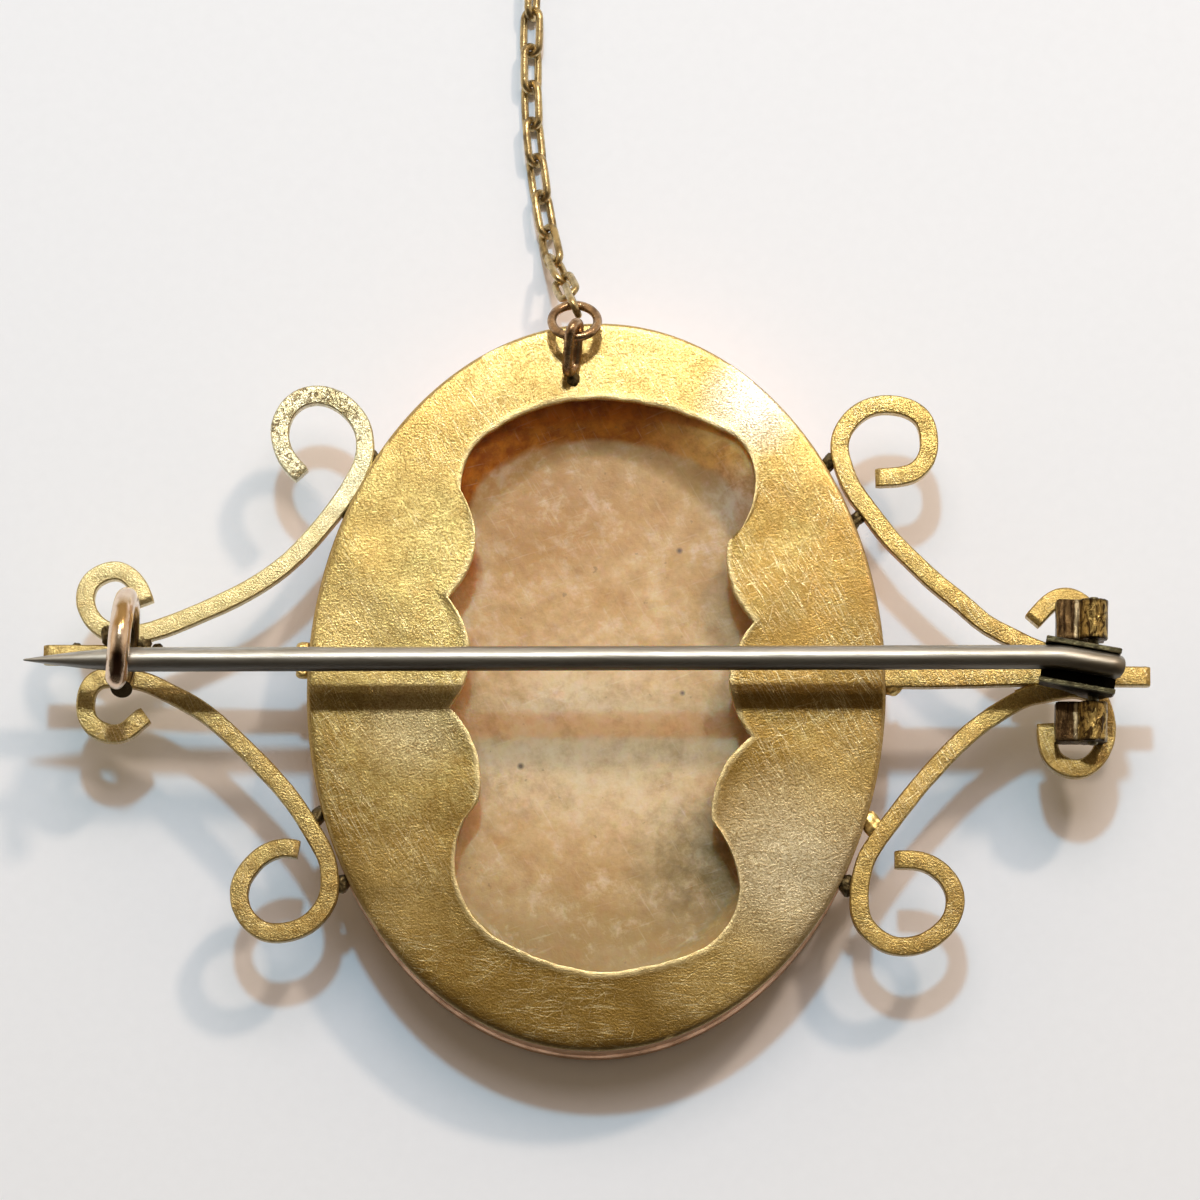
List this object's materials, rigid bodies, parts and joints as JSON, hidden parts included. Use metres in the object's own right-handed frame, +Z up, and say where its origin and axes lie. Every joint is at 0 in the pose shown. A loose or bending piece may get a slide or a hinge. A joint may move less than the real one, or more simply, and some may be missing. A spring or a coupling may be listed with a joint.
{
  "type": "cameo brooch",
  "caption": "Oval cameo brooch lying face down: gold setting with a scalloped back window, scroll wings on two bars, hinged pin with C-catch, and a safety chain.",
  "frame": {"origin": "on the surface that the brooch lies on, at the flat face of the front rim, under the middle of the oval", "axes": "+X along the bars toward the hinge, +Y up the oval toward the safety chain, +Z up out of the back of the brooch"},
  "size_m": [0.061, 0.0784, 0.0118],
  "materials": {
    "gold": "hand-burnished gold plate with fine scratches",
    "shell": "translucent polished shell",
    "rose_gold": "polished rose gold",
    "hinge_brass": "tarnished, file-marked brass",
    "dark_steel": "oxidised steel",
    "pin_steel": "drawn steel wire",
    "chain_gold": "worn polished brass",
    "copper_ring": "tarnished copper-coloured wire"
  },
  "bodies": {
    "root": {"frame": "gold", "cameo": "shell", "catch": "rose_gold", "hinge_knuckle_upper": "hinge_brass", "hinge_knuckle_lower": "hinge_brass", "hinge_rivet": "dark_steel", "chain_eye": "chain_gold", "jump_ring": "copper_ring", "safety_pin": "hinge_brass", "link_01": "chain_gold", "link_02": "chain_gold", "link_03": "chain_gold", "link_04": "chain_gold", "link_05": "chain_gold", "link_06": "chain_gold", "link_07": "chain_gold", "link_08": "chain_gold", "link_09": "chain_gold", "link_10": "chain_gold", "link_11": "chain_gold"},
    "pin_tang": {"pin_channel": "dark_steel"},
    "pin_stem": {"pin_stem": "pin_steel"}
  },
  "joints": [
    {"name": "pin_hinge", "type": "hinge", "parent": "root", "child": "pin_tang", "pos_m": [0.02685, 0.001, 0.0071], "axis": [0, 1, 0], "range_deg": [0, 60]},
    {"name": "pin_spring", "type": "hinge", "parent": "pin_tang", "child": "pin_stem", "pos_m": [0.02833, 0.00092, 0.00895], "axis": [0, 0, 1], "range_deg": [0, 3.5], "stiffness_Nm_per_rad": 0.02}
  ]
}
